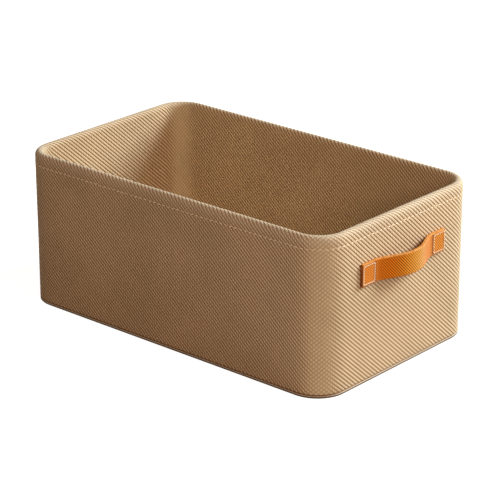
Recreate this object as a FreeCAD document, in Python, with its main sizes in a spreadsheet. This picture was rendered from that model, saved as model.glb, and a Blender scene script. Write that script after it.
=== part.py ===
import FreeCAD, Part
import math
import os
import Sketcher
from FreeCAD import Rotation, Vector

# Wardrobe storage basket: an open cloth box with padded walls, a round rolled rim,
# a leather strap handle sewn to each short side, and a loose base insert.
# Frame: +X along the length, +Y along the width (the back is +Y), +Z up.
# The origin is the middle of the underside. Sizes are in millimetres.

# Driving sizes
DRIVING_SIZES = [
    ("length", 438, "outside length of the box, without the handles"),
    ("width", 262, "outside width of the box"),
    ("height", 180, "floor to the top of the rim"),
    ("corner_radius", 36, "outside radius of the four upright corners"),
    ("cloth", 1.2, "thickness of the ribbed cloth"),
    ("outer_foam", 3.0, "foam sheet between cover and wall boards"),
    ("board", 1.6, "thickness of the wall boards"),
    ("inner_foam", 3.8, "foam sheet between wall boards and lining"),
    ("stitch_depth", 13.8, "rim stitching below the top of the rim"),
    ("stitch_gap", 2.0, "room for the rim stitching between rim foam and wall boards"),
    ("wire_diameter", 3.5, "steel wire in the rim"),
    ("wire_end_gap", 1.0, "space between the two ends of the rim wire"),
    ("sleeve_length", 40, "crimped sleeve over the ends of the rim wire"),
    ("sleeve_wall", 0.7, "wall of that sleeve"),
    ("fold_slit", 0.4, "slit left where the rim foam is folded over the wire"),
    ("board_joint_gap", 2.0, "space between the two wall boards"),
    ("tape_width", 48, "tape over each joint of the wall boards"),
    ("tape_thickness", 0.3, "thickness of that tape"),
    ("piping_diameter", 3.0, "round welt along the bottom edge"),
    ("piping_cord", 1.8, "cord inside the welt"),
    ("piping_flange", 12, "depth of the welt's sewn flange, from the outside face"),
    ("strap_length", 142, "handle strap, end to end, measured straight"),
    ("strap_width", 23.4, "height of the handle strap"),
    ("strap_layer", 1.8, "thickness of each of its two leather layers"),
    ("strap_free_span", 98, "distance between the two sewn ends"),
    ("strap_rise", 15, "how far the strap bows out between them"),
    ("strap_crest_radius", 50.4, "bend at its middle, on the wall side"),
    ("strap_foot_radius", 23.6, "bend beside each sewn end, on the wall side"),
    ("strap_drop", 53.5, "top of the rim to the strap's middle line"),
    ("flex_span", 63, "middle part of the strap, which flexes as one piece"),
    ("flex_gap", 0.3, "space between that part and the fixed part of the strap"),
    ("patch_margin", 6, "reinforcing patch beyond the strap on every side"),
    ("patch_thickness", 1.0, "thickness of the reinforcing patch"),
    ("insert_side_gap", 2.5, "loose base insert to the lining, on every side"),
    ("insert_lift", 0.3, "loose base insert to the base lining"),
    ("insert_board", 3.0, "thickness of the board in the insert"),
    ("insert_cloth", 0.8, "thickness of the cloth round that board"),
    ("tab_width", 22, "pull tab of the insert"),
    ("tab_thickness", 1.6, "thickness of the folded tab"),
    ("tab_foot", 24, "length of the tab that is sewn to the insert"),
    ("tab_height", 32, "height of the tab above the insert"),
    ("tab_wall_gap", 3.5, "tab to the lining"),
    ("tab_bend_radius", 3.0, "bend of the tab, on its inner side"),
]

doc = FreeCAD.newDocument("storage_basket")
sheet = doc.addObject("Spreadsheet::Sheet", "Sizes")
for row, (alias, number, meaning) in enumerate(DRIVING_SIZES, start=1):
    sheet.set(f"A{row}", alias)
    sheet.set(f"B{row}", str(number))
    sheet.set(f"C{row}", meaning)
    sheet.setAlias(f"B{row}", alias)
doc.recompute()

# Sizes that follow from them, as expressions on the sheet
WALL = "(2 * Sizes.cloth + Sizes.outer_foam + Sizes.board + Sizes.inner_foam)"
RIM_RADIUS = f"({WALL} / 2)"
RIM_AXIS = f"(Sizes.height - {RIM_RADIUS})"
BOARD_OUTSIDE = "(Sizes.cloth + Sizes.outer_foam)"
BOARD_INSIDE = f"({BOARD_OUTSIDE} + Sizes.board)"
LINING_OUTSIDE = f"({WALL} - Sizes.cloth)"
HEM_TOP = "(Sizes.piping_diameter + Sizes.cloth)"
STITCH_LEVEL = "(Sizes.height - Sizes.stitch_depth)"
STACK_TOP = f"({STITCH_LEVEL} - Sizes.stitch_gap / 2)"
RIM_FOAM_BOTTOM = f"({STITCH_LEVEL} + Sizes.stitch_gap / 2)"
STRAP_LEVEL = "(Sizes.height - Sizes.strap_drop)"
INSERT_INSET = f"({WALL} + Sizes.insert_side_gap)"
INSERT_BOARD_INSET = f"({INSERT_INSET} + Sizes.insert_cloth)"
INSERT_BOTTOM = f"({HEM_TOP} + Sizes.insert_lift)"
INSERT_BOARD_BOTTOM = f"({INSERT_BOTTOM} + Sizes.insert_cloth)"
INSERT_BOARD_TOP = f"({INSERT_BOARD_BOTTOM} + Sizes.insert_board)"
INSERT_TOP = f"({INSERT_BOARD_TOP} + Sizes.insert_cloth)"


def value(expression):
    """The number that an expression on the sheet gives."""
    return float(sheet.evalExpression(str(expression)))


def new_body(label):
    body = doc.addObject("PartDesign::Body", label)
    body.Label = label
    return body


def sketch_on(body, name, role, offset=None):
    """An empty sketch on one of the body's own origin planes, moved along its normal."""
    sketch = body.newObject("Sketcher::SketchObject", name)
    plane = next(f for f in body.Origin.OriginFeatures if f.Role == role)
    sketch.AttachmentSupport = (plane, [""])
    sketch.MapMode = "FlatFace"
    if offset is not None:
        sketch.setExpression("AttachmentOffset.Base.z", str(offset))
    return sketch


def bind(sketch, kind, *where, to):
    """Adds a dimension whose value is an expression on the sheet."""
    index = sketch.addConstraint(Sketcher.Constraint(kind, *where, value(to)))
    sketch.setExpression(f"Constraints[{index}]", str(to))


def place_point(sketch, edge, end, x, y):
    """Holds one end of an edge at a place given by two expressions."""
    bind(sketch, "DistanceX", -1, 1, edge, end, to=x)
    bind(sketch, "DistanceY", -1, 1, edge, end, to=y)


def rounded_rectangle(sketch, inset, split_side=False):
    """The box outline, moved inwards by inset. With split_side, its right side is two
    edges, so that a path along it starts at the middle of the short side."""
    half_x = f"(Sizes.length / 2 - {inset})"
    half_y = f"(Sizes.width / 2 - {inset})"
    bend = f"(Sizes.corner_radius - {inset})"
    a, b, r = value(half_x), value(half_y), value(bend)
    right = [(a, 0), (a, b - r)] if split_side else [(a, r - b), (a, b - r)]
    back, left, front = [(a - r, b), (r - a, b)], [(-a, b - r), (-a, r - b)], [(r - a, -b), (a - r, -b)]
    sides = [right, back, left, front]
    centres = [(a - r, b - r), (r - a, b - r), (r - a, r - b), (a - r, r - b)]
    edges = []
    for quarter, (side, centre) in enumerate(zip(sides, centres)):
        edges.append(sketch.addGeometry(Part.LineSegment(Vector(*side[0]), Vector(*side[1]))))
        circle = Part.Circle(Vector(*centre), Vector(0, 0, 1), r)
        start = quarter * math.pi / 2
        edges.append(sketch.addGeometry(Part.ArcOfCircle(circle, start, start + math.pi / 2)))
    if split_side:
        edges.append(sketch.addGeometry(Part.LineSegment(Vector(a, r - b), Vector(a, 0))))
        sketch.addConstraint(Sketcher.Constraint("Coincident", edges[8], 2, edges[0], 1))
        sketch.addConstraint(Sketcher.Constraint("PointOnObject", edges[0], 1, -1))
        sketch.addConstraint(Sketcher.Constraint("Vertical", edges[8]))
    last = edges[8] if split_side else edges[0]
    followers = edges[1:8] + [last]
    for edge, follower in zip(edges[:8], followers):
        sketch.addConstraint(Sketcher.Constraint("Tangent", edge, 2, follower, 1))
    for quarter in range(4):
        direction = "Horizontal" if quarter % 2 else "Vertical"
        sketch.addConstraint(Sketcher.Constraint(direction, edges[2 * quarter]))
    for quarter in (1, 2, 3):
        sketch.addConstraint(Sketcher.Constraint("Equal", edges[1], edges[2 * quarter + 1]))
    bind(sketch, "Radius", edges[1], to=bend)
    bind(sketch, "DistanceX", -1, 1, edges[0], 2, to=half_x)
    bind(sketch, "DistanceY", -1, 1, edges[2], 2, to=half_y)
    bind(sketch, "DistanceX", edges[4], 2, -1, 1, to=half_x)
    bind(sketch, "DistanceY", edges[6], 2, -1, 1, to=half_y)


def pad(body, name, sketch, height, both_ways=False):
    feature = body.newObject("PartDesign::Pad", name)
    feature.Profile = sketch
    feature.setExpression("Length", str(height))
    if both_ways:
        feature.SideType = "Symmetric"
    return feature


def cut_box(body, name, low, high):
    """Takes away everything between two corners, each given by three expressions."""
    box = body.newObject("PartDesign::SubtractiveBox", name)
    for axis, size, start, end in zip("xyz", ("Length", "Width", "Height"), low, high):
        box.setExpression(size, f"{end} - ({start})")
        box.setExpression(f"Placement.Base.{axis}", str(start))
    return box


def rounded_plate(body, name, inset, low, high):
    """A flat sheet with the outline of the box."""
    outline = sketch_on(body, name + "Outline", "XY_Plane", low)
    rounded_rectangle(outline, inset)
    return pad(body, name, outline, f"{high} - ({low})")


def wall_ring(body, name, outside, inside, low, high):
    """A band that follows the wall, between two insets from the outside face."""
    outline = sketch_on(body, name + "Outline", "XY_Plane", low)
    rounded_rectangle(outline, outside)
    rounded_rectangle(outline, inside)
    return pad(body, name, outline, f"{high} - ({low})")


def rim_path(body, name, inset, level):
    """The closed line that a profile follows round the box."""
    path = sketch_on(body, name + "Path", "XY_Plane", level)
    rounded_rectangle(path, inset, split_side=True)
    return path


def sweep_round(body, name, profile, path, kind="Additive"):
    feature = body.newObject(f"PartDesign::{kind}Pipe", name)
    feature.Profile = profile
    feature.Spine = path
    return feature


def arch_profile(body, name, inset, foot):
    """A wall section with a half-round top, that much inside the rim's own surface."""
    sketch = sketch_on(body, name + "Profile", "XZ_Plane")
    outer = f"(Sizes.length / 2 - {inset})"
    inner = f"(Sizes.length / 2 - {WALL} + {inset})"
    x0, x1, z0, z1 = value(outer), value(inner), value(foot), value(RIM_AXIS)
    middle, r = (x0 + x1) / 2, (x0 - x1) / 2
    up = sketch.addGeometry(Part.LineSegment(Vector(x0, z0), Vector(x0, z1)))
    circle = Part.Circle(Vector(middle, z1), Vector(0, 0, 1), r)
    over = sketch.addGeometry(Part.ArcOfCircle(circle, 0, math.pi))
    down = sketch.addGeometry(Part.LineSegment(Vector(x1, z1), Vector(x1, z0)))
    under = sketch.addGeometry(Part.LineSegment(Vector(x1, z0), Vector(x0, z0)))
    sketch.addConstraint(Sketcher.Constraint("Tangent", up, 2, over, 1))
    sketch.addConstraint(Sketcher.Constraint("Coincident", over, 2, down, 1))
    sketch.addConstraint(Sketcher.Constraint("Coincident", down, 2, under, 1))
    sketch.addConstraint(Sketcher.Constraint("Coincident", under, 2, up, 1))
    place_point(sketch, up, 1, outer, foot)
    place_point(sketch, up, 2, outer, RIM_AXIS)
    place_point(sketch, down, 1, inner, RIM_AXIS)
    place_point(sketch, down, 2, inner, foot)
    return sketch


def round_profile(body, name, inset, level, diameter):
    """A circle in the wall's cross-section, at that inset from the outside face."""
    sketch = sketch_on(body, name + "Profile", "XZ_Plane")
    across = f"(Sizes.length / 2 - {inset})"
    centre = Vector(value(across), value(level), 0)
    circle = sketch.addGeometry(Part.Circle(centre, Vector(0, 0, 1), value(diameter) / 2))
    place_point(sketch, circle, 3, across, level)
    bind(sketch, "Diameter", circle, to=diameter)
    return sketch


# Outer cover: one band of cloth, up the outside, over the rim and down to the stitching
def make_outer_cover():
    body = new_body("outer_cover")
    path = rim_path(body, "Rim", "0", "0")
    outside = arch_profile(body, "Outside", "0", "Sizes.piping_diameter")
    sweep_round(body, "Wall", outside, path)
    wall_room = sketch_on(body, "WallRoomOutline", "XY_Plane", HEM_TOP)
    rounded_rectangle(wall_room, "Sizes.cloth")
    room = body.newObject("PartDesign::Pocket", "WallRoom")
    room.Profile = wall_room
    room.Reversed = True
    room.setExpression("Length", f"{STITCH_LEVEL} - {HEM_TOP}")
    doc.recompute()
    inside = arch_profile(body, "Inside", "Sizes.cloth", STITCH_LEVEL)
    sweep_round(body, "RimRoom", inside, path, "Subtractive")
    return body


# Inner lining: the same cloth inside, from the stitching down to the base
def make_inner_lining():
    body = new_body("inner_lining")
    wall_ring(body, "Lining", LINING_OUTSIDE, WALL, HEM_TOP, STITCH_LEVEL)
    return body


# Wall padding: one foam sheet on each side of the boards
def make_outer_padding():
    body = new_body("outer_padding")
    wall_ring(body, "Foam", "Sizes.cloth", BOARD_OUTSIDE, HEM_TOP, STACK_TOP)
    doc.recompute()
    half_y = "(Sizes.strap_length / 2 + Sizes.patch_margin)"
    half_z = "(Sizes.strap_width / 2 + Sizes.patch_margin)"
    outside = "(Sizes.length / 2 - Sizes.cloth)"
    low_z = f"{STRAP_LEVEL} - {half_z}"
    high_z = f"{STRAP_LEVEL} + {half_z}"
    depth = "Sizes.patch_thickness"
    cut_box(body, "RightPatchRoom", (f"{outside} - {depth}", f"-{half_y}", low_z),
            (outside, half_y, high_z))
    cut_box(body, "LeftPatchRoom", (f"-{outside}", f"-{half_y}", low_z),
            (f"-{outside} + {depth}", half_y, high_z))
    return body


def make_inner_padding():
    body = new_body("inner_padding")
    wall_ring(body, "Foam", BOARD_INSIDE, LINING_OUTSIDE, HEM_TOP, STACK_TOP)
    doc.recompute()
    tape_y = f"(Sizes.width / 2 - {BOARD_INSIDE})"
    depth = "Sizes.tape_thickness"
    half_x = "(Sizes.tape_width / 2)"
    cut_box(body, "BackTapeRoom", (f"-{half_x}", f"{tape_y} - {depth}", HEM_TOP),
            (half_x, tape_y, STACK_TOP))
    cut_box(body, "FrontTapeRoom", (f"-{half_x}", f"-{tape_y}", HEM_TOP),
            (half_x, f"-{tape_y} + {depth}", STACK_TOP))
    return body


# Wall boards: two U-shaped halves, bent round the short sides and butted at the long ones
def make_wall_board(label, side):
    body = new_body(label)
    wall_ring(body, "Hoop", BOARD_OUTSIDE, BOARD_INSIDE, HEM_TOP, STACK_TOP)
    doc.recompute()
    joint = "(Sizes.board_joint_gap / 2)"
    beyond = "(Sizes.length / 2)"
    low_x, high_x = (f"-{beyond}", joint) if side > 0 else (f"-{joint}", beyond)
    half_y = "(Sizes.width / 2)"
    cut_box(body, "OtherHalf", (low_x, f"-{half_y}", HEM_TOP), (high_x, half_y, STACK_TOP))
    return body


# Joint tapes: a strip over each joint of the boards, on their inner face
def make_joint_tape(label, side):
    tape = doc.addObject("Part::Box", label)
    tape.Label = label
    tape.setExpression("Length", "Sizes.tape_width")
    tape.setExpression("Width", "Sizes.tape_thickness")
    tape.setExpression("Height", f"{STACK_TOP} - {HEM_TOP}")
    tape.setExpression("Placement.Base.x", "-Sizes.tape_width / 2")
    face = f"(Sizes.width / 2 - {BOARD_INSIDE})"
    tape.setExpression("Placement.Base.y", f"{face} - Sizes.tape_thickness" if side > 0 else f"-{face}")
    tape.setExpression("Placement.Base.z", HEM_TOP)
    return tape


# Rim padding: a foam strip folded over the wire, with the slit of its fold underneath
def make_rim_padding():
    body = new_body("rim_padding")
    path = rim_path(body, "Rim", "0", "0")
    sweep_round(body, "Fold", arch_profile(body, "Fold", "Sizes.cloth", RIM_FOAM_BOTTOM), path)
    doc.recompute()
    wire = round_profile(body, "WireRoom", RIM_RADIUS, RIM_AXIS, "Sizes.wire_diameter")
    sweep_round(body, "WireRoom", wire, path, "Subtractive")
    doc.recompute()
    slit = sketch_on(body, "SlitOutline", "XY_Plane", RIM_FOAM_BOTTOM)
    rounded_rectangle(slit, f"({RIM_RADIUS} - Sizes.fold_slit / 2)")
    rounded_rectangle(slit, f"({RIM_RADIUS} + Sizes.fold_slit / 2)")
    cut = body.newObject("PartDesign::Pocket", "Slit")
    cut.Profile = slit
    cut.Reversed = True
    cut.setExpression("Length", f"{RIM_AXIS} - {RIM_FOAM_BOTTOM}")
    doc.recompute()
    sleeve = sleeve_circle(body, "SleeveRoom", "(Sizes.wire_diameter + 2 * Sizes.sleeve_wall)")
    room = body.newObject("PartDesign::Pocket", "SleeveRoom")
    room.Profile = sleeve
    room.SideType = "Symmetric"
    room.setExpression("Length", "Sizes.sleeve_length")
    return body


def sleeve_circle(body, name, *diameters):
    """Circles round the rim wire at the middle of the back, seen along the length."""
    sketch = sketch_on(body, name + "Outline", "YZ_Plane")
    across = f"(Sizes.width / 2 - {RIM_RADIUS})"
    for diameter in diameters:
        centre = Vector(value(across), value(RIM_AXIS), 0)
        circle = sketch.addGeometry(Part.Circle(centre, Vector(0, 0, 1), value(diameter) / 2))
        place_point(sketch, circle, 3, across, RIM_AXIS)
        bind(sketch, "Diameter", circle, to=diameter)
    return sketch


# Rim wire: a steel hoop whose two ends meet at the middle of the back
def make_rim_wire():
    body = new_body("rim_wire")
    path = rim_path(body, "Wire", RIM_RADIUS, RIM_AXIS)
    section = round_profile(body, "Wire", RIM_RADIUS, RIM_AXIS, "Sizes.wire_diameter")
    sweep_round(body, "Wire", section, path)
    doc.recompute()
    half_gap = "(Sizes.wire_end_gap / 2)"
    half_y = "(Sizes.width / 2)"
    cut_box(body, "EndGap", (f"-{half_gap}", "0", f"{RIM_AXIS} - Sizes.wire_diameter"),
            (half_gap, half_y, f"{RIM_AXIS} + Sizes.wire_diameter"))
    return body


# Crimped sleeve: holds the two ends of the wire
def make_wire_sleeve():
    body = new_body("rim_wire_sleeve")
    outside = "(Sizes.wire_diameter + 2 * Sizes.sleeve_wall)"
    section = sleeve_circle(body, "Sleeve", outside, "Sizes.wire_diameter")
    pad(body, "Sleeve", section, "Sizes.sleeve_length", both_ways=True)
    return body


# Flat sheets of the base and the insert: cloth, foam, lining and board
def make_flat_sheet(label, inset, low, high):
    body = new_body(label)
    rounded_plate(body, "Sheet", inset, low, high)
    return body


# Base piping: a cord in a strip of cloth whose flange is sewn between cover and base
def make_base_piping():
    body = new_body("base_piping")
    radius = "(Sizes.piping_diameter / 2)"
    wall_ring(body, "Flange", radius, "Sizes.piping_flange", "Sizes.cloth", "Sizes.piping_diameter")
    doc.recompute()
    path = rim_path(body, "Welt", radius, "0")
    sweep_round(body, "Welt", round_profile(body, "Welt", radius, radius, "Sizes.piping_diameter"), path)
    doc.recompute()
    room = round_profile(body, "CordRoom", radius, radius, "Sizes.piping_cord")
    sweep_round(body, "CordRoom", room, path, "Subtractive")
    return body


def make_piping_cord():
    body = new_body("base_piping_cord")
    radius = "(Sizes.piping_diameter / 2)"
    path = rim_path(body, "Cord", radius, "0")
    sweep_round(body, "Cord", round_profile(body, "Cord", radius, radius, "Sizes.piping_cord"), path)
    return body


# Handle strap. Its own frame: X out from the wall's face, Y along the strap, Z up.
def strap_path(body):
    """The wall side of the strap: flat, a bend out, a straight flank, the crest, and back.
    The flank touches both bends, whose centres are (half span, sum of radii - rise) apart."""
    path = sketch_on(body, "StrapPath", "XY_Plane")
    end, foot = value("Sizes.strap_length / 2"), value("Sizes.strap_free_span / 2")
    rise = value("Sizes.strap_rise")
    crest, bend = value("Sizes.strap_crest_radius"), value("Sizes.strap_foot_radius")
    reach = crest + bend
    flank = math.sqrt(foot ** 2 + rise ** 2 - 2 * reach * rise)
    slope = math.atan2(foot, reach - rise) - math.atan2(flank, reach)
    bend_end = Vector(bend * (1 - math.cos(slope)), bend * math.sin(slope) - foot)
    crest_start = Vector(rise - crest * (1 - math.cos(slope)), -crest * math.sin(slope))

    def arc(x, y, radius, first, last):
        circle = Part.Circle(Vector(x, y), Vector(0, 0, 1), radius)
        return path.addGeometry(Part.ArcOfCircle(circle, first, last))

    def line(start, finish):
        return path.addGeometry(Part.LineSegment(start, finish))

    def mirrored(point):
        return Vector(point.x, -point.y)

    first = line(Vector(0, -end), Vector(0, -foot))
    out = arc(bend, -foot, bend, math.pi - slope, math.pi)
    flank_out = line(bend_end, crest_start)
    top = arc(rise - crest, 0, crest, -slope, slope)
    flank_back = line(mirrored(crest_start), mirrored(bend_end))
    back = arc(bend, foot, bend, math.pi, math.pi + slope)
    last = line(Vector(0, foot), Vector(0, end))
    joints = [(first, 2, out, 2), (out, 1, flank_out, 1), (flank_out, 2, top, 1),
              (top, 2, flank_back, 1), (flank_back, 2, back, 2), (back, 1, last, 1)]
    for joint in joints:
        path.addConstraint(Sketcher.Constraint("Tangent", *joint))
    place_point(path, first, 1, "0", "-Sizes.strap_length / 2")
    place_point(path, first, 2, "0", "-Sizes.strap_free_span / 2")
    place_point(path, last, 1, "0", "Sizes.strap_free_span / 2")
    bind(path, "DistanceY", -1, 1, last, 2, to="Sizes.strap_length / 2")
    bind(path, "Radius", out, to="Sizes.strap_foot_radius")
    bind(path, "Radius", back, to="Sizes.strap_foot_radius")
    bind(path, "Radius", top, to="Sizes.strap_crest_radius")
    bind(path, "DistanceX", -1, 1, top, 3, to="Sizes.strap_rise - Sizes.strap_crest_radius")
    return path


def strap_section(body, near, far):
    """The upright section of one leather layer, at the strap's front end."""
    section = sketch_on(body, "StrapSection", "XZ_Plane", "Sizes.strap_length / 2")
    half = value("Sizes.strap_width / 2")
    x0, x1 = value(near), value(far)
    corners = [Vector(x0, -half), Vector(x1, -half), Vector(x1, half), Vector(x0, half)]
    edges = []
    for start, finish in zip(corners, corners[1:] + corners[:1]):
        edges.append(section.addGeometry(Part.LineSegment(start, finish)))
    for edge, follower in zip(edges, edges[1:] + edges[:1]):
        section.addConstraint(Sketcher.Constraint("Coincident", edge, 2, follower, 1))
    places = [(near, "-Sizes.strap_width / 2"), (far, "-Sizes.strap_width / 2"),
              (far, "Sizes.strap_width / 2"), (near, "Sizes.strap_width / 2")]
    for edge, (x, z) in zip(edges, places):
        place_point(section, edge, 1, x, z)
    return section


def make_strap_piece(label, side, layer, part):
    """One leather layer, cut square across where the flexing middle meets the fixed ends."""
    body = new_body(label)
    near = f"({layer} * Sizes.strap_layer)"
    far = f"({layer + 1} * Sizes.strap_layer)"
    sweep_round(body, "Strap", strap_section(body, near, far), strap_path(body))
    doc.recompute()
    beyond = "(Sizes.strap_rise + 3 * Sizes.strap_layer)"
    half_z = "Sizes.strap_width"
    if part == "ends":
        half = "(Sizes.flex_span / 2)"
        cut_box(body, "MiddleOff", ("-1", f"-{half}", f"-{half_z}"), (beyond, half, half_z))
    else:
        half = "(Sizes.flex_span / 2 - Sizes.flex_gap)"
        far_y = "Sizes.strap_length"
        cut_box(body, "FrontEndOff", ("-1", f"-{far_y}", f"-{half_z}"), (beyond, f"-{half}", half_z))
        doc.recompute()
        cut_box(body, "BackEndOff", ("-1", half, f"-{half_z}"), (beyond, far_y, half_z))
    turn = 0 if side > 0 else 180
    body.Placement = FreeCAD.Placement(Vector(0, 0, 0), Rotation(Vector(0, 0, 1), turn))
    body.setExpression("Placement.Base.x", "Sizes.length / 2" if side > 0 else "-Sizes.length / 2")
    body.setExpression("Placement.Base.z", STRAP_LEVEL)
    return body


# Reinforcing patch: behind the cover, under the whole strap
def make_handle_patch(label, side):
    patch = doc.addObject("Part::Box", label)
    patch.Label = label
    patch.setExpression("Length", "Sizes.patch_thickness")
    patch.setExpression("Width", "Sizes.strap_length + 2 * Sizes.patch_margin")
    patch.setExpression("Height", "Sizes.strap_width + 2 * Sizes.patch_margin")
    outside = "(Sizes.length / 2 - Sizes.cloth)"
    patch.setExpression(
        "Placement.Base.x", f"{outside} - Sizes.patch_thickness" if side > 0 else f"-{outside}")
    patch.setExpression("Placement.Base.y", "-Sizes.strap_length / 2 - Sizes.patch_margin")
    patch.setExpression("Placement.Base.z", f"{STRAP_LEVEL} - Sizes.strap_width / 2 - Sizes.patch_margin")
    return patch


# Loose base insert: a board in cloth, with a pull tab that stands against the lining
def make_insert_cover():
    body = new_body("insert_top_cover")
    rounded_plate(body, "Block", INSERT_INSET, INSERT_BOARD_BOTTOM, INSERT_TOP)
    doc.recompute()
    outline = sketch_on(body, "BoardRoomOutline", "XY_Plane", INSERT_BOARD_BOTTOM)
    rounded_rectangle(outline, INSERT_BOARD_INSET)
    room = body.newObject("PartDesign::Pocket", "BoardRoom")
    room.Profile = outline
    room.Reversed = True
    room.setExpression("Length", "Sizes.insert_board")
    return body


def make_pull_tab():
    """An angle of folded ribbon: its foot lies on the insert, its leaf stands up."""
    body = new_body("insert_pull_tab")
    section = sketch_on(body, "TabSection", "XZ_Plane")
    back = f"(Sizes.length / 2 - {WALL} - Sizes.tab_wall_gap)"
    front = f"({back} - Sizes.tab_thickness)"
    toe = f"({back} - Sizes.tab_foot)"
    upper = f"({INSERT_TOP} + Sizes.tab_thickness)"
    tip = f"({INSERT_TOP} + Sizes.tab_height)"
    bend = "(Sizes.tab_bend_radius + Sizes.tab_thickness)"
    bend_x = f"({back} - {bend})"
    bend_z = f"({INSERT_TOP} + {bend})"
    places = [(toe, INSERT_TOP), (bend_x, INSERT_TOP), (back, bend_z), (back, tip),
              (front, tip), (front, bend_z), (bend_x, upper), (toe, upper)]
    points = [Vector(value(x), value(z)) for x, z in places]
    centre = Vector(value(bend_x), value(bend_z))
    edges = []
    for index, start in enumerate(points):
        finish = points[(index + 1) % len(points)]
        if index in (1, 5):
            circle = Part.Circle(centre, Vector(0, 0, 1), (start - centre).Length)
            edges.append(section.addGeometry(Part.ArcOfCircle(circle, -math.pi / 2, 0)))
        else:
            edges.append(section.addGeometry(Part.LineSegment(start, finish)))
    start_ends = [2 if index == 5 else 1 for index in range(8)]
    for index, edge in enumerate(edges):
        follower = (index + 1) % 8
        finish_end = 1 if index == 5 else 2
        section.addConstraint(
            Sketcher.Constraint("Coincident", edge, finish_end, edges[follower], start_ends[follower]))
    for index, (x, z) in enumerate(places):
        place_point(section, edges[index], start_ends[index], x, z)
    for arc in (edges[1], edges[5]):
        bind(section, "DistanceX", -1, 1, arc, 3, to=bend_x)
    pad(body, "Tab", section, "Sizes.tab_width", both_ways=True)
    return body


def check_and_write(parts):
    for item in doc.Objects:
        if "Invalid" in item.State or "Error" in item.State:
            raise RuntimeError(f"{item.Name} ({item.Label}) failed: {item.State}")
    for item in parts:
        if item.Shape.isNull() or not item.Shape.isValid():
            raise RuntimeError(f"{item.Label} has no valid shape")
    os.makedirs("parts", exist_ok=True)
    for item in parts:
        item.Shape.exportStep(f"parts/{item.Label}.step")
        print(item.Label, len(item.Shape.Solids), round(item.Shape.Volume, 1))


parts = [
    make_outer_cover(),
    make_inner_lining(),
    make_outer_padding(),
    make_inner_padding(),
    make_wall_board("right_wall_board", 1),
    make_wall_board("left_wall_board", -1),
    make_joint_tape("front_joint_tape", -1),
    make_joint_tape("back_joint_tape", 1),
    make_rim_padding(),
    make_rim_wire(),
    make_wire_sleeve(),
    make_flat_sheet("base_cloth", "Sizes.piping_diameter", "0", "Sizes.cloth"),
    make_flat_sheet("base_padding", "Sizes.piping_flange", "Sizes.cloth", "Sizes.piping_diameter"),
    make_flat_sheet("base_lining", WALL, "Sizes.piping_diameter", HEM_TOP),
    make_base_piping(),
    make_piping_cord(),
    make_insert_cover(),
    make_flat_sheet("insert_board", INSERT_BOARD_INSET, INSERT_BOARD_BOTTOM, INSERT_BOARD_TOP),
    make_flat_sheet("insert_bottom_cloth", INSERT_INSET, INSERT_BOTTOM, INSERT_BOARD_BOTTOM),
    make_pull_tab(),
]
for hand, side in (("right", 1), ("left", -1)):
    parts.append(make_handle_patch(f"{hand}_handle_patch", side))
    for layer, layer_name in enumerate(("lining", "face")):
        for part in ("ends", "loop"):
            parts.append(make_strap_piece(f"{hand}_handle_{layer_name}_{part}", side, layer, part))
doc.recompute()
check_and_write(parts)
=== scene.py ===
# %% [markdown]
# # A wardrobe storage basket
#
# This lesson dresses a basket whose construction already exists: an open cloth box with
# padded walls, a rolled rim, two leather handles and a loose base insert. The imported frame
# gives every part's true place and size. Here each visible part gets its real surface:
# the cloth its woven ribs, the rim its row of stitches, the leather its grain and sewn ends.

# %% Load the frame
import math
from functools import partialmethod

import bmesh
import bpy
import numpy as np
from mathutils import Euler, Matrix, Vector


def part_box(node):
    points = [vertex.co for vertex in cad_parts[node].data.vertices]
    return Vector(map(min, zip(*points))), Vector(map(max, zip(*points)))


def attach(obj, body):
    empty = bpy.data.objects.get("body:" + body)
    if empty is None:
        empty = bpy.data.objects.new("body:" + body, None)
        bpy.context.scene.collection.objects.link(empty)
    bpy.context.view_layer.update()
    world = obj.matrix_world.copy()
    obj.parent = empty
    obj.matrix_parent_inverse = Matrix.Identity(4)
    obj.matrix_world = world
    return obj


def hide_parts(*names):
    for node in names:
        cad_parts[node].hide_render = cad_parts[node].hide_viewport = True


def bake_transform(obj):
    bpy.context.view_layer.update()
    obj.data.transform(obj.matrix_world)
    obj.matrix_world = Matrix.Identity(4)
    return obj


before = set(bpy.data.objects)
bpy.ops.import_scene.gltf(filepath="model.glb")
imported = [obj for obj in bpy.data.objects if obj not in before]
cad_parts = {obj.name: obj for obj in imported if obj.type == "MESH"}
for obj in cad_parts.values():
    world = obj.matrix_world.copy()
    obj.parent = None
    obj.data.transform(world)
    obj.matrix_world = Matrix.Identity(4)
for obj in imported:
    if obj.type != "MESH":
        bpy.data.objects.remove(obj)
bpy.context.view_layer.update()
MM = 0.001

# %% [markdown]
# ## The outline that everything follows
#
# Seen from above the basket is a rectangle with round corners. Cloth, stitches and welt all
# run round it, so one function turns a distance along that outline into a point and the
# direction that points away from the basket. The corners are where the direction turns, and
# the corner's own centre only moves along the straight sides, so both are sums of clipped
# distances and need no cases.


# %% Sizes read from the frame
def corners_of(name):
    """The low and the high corner of one part's box."""
    return [np.array(corner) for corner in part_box(name)]


cover_low, (HALF_LENGTH, HALF_WIDTH, HEIGHT) = corners_of("outer_cover")
lining_low, lining_high = corners_of("inner_lining")
HEM_LEVEL = cover_low[2]
STITCH_LEVEL = lining_high[2]
BASE_TOP = lining_low[2]
CLOTH = 1.2 * MM
WALL = HALF_LENGTH - lining_high[0] + CLOTH
CORNER_RADIUS = 36 * MM
RIM_RADIUS = WALL / 2
RIM_AXIS = HEIGHT - RIM_RADIUS
print("wall", round(WALL / MM, 2), "mm, stitching at", round(STITCH_LEVEL / MM, 1), "mm")


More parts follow.
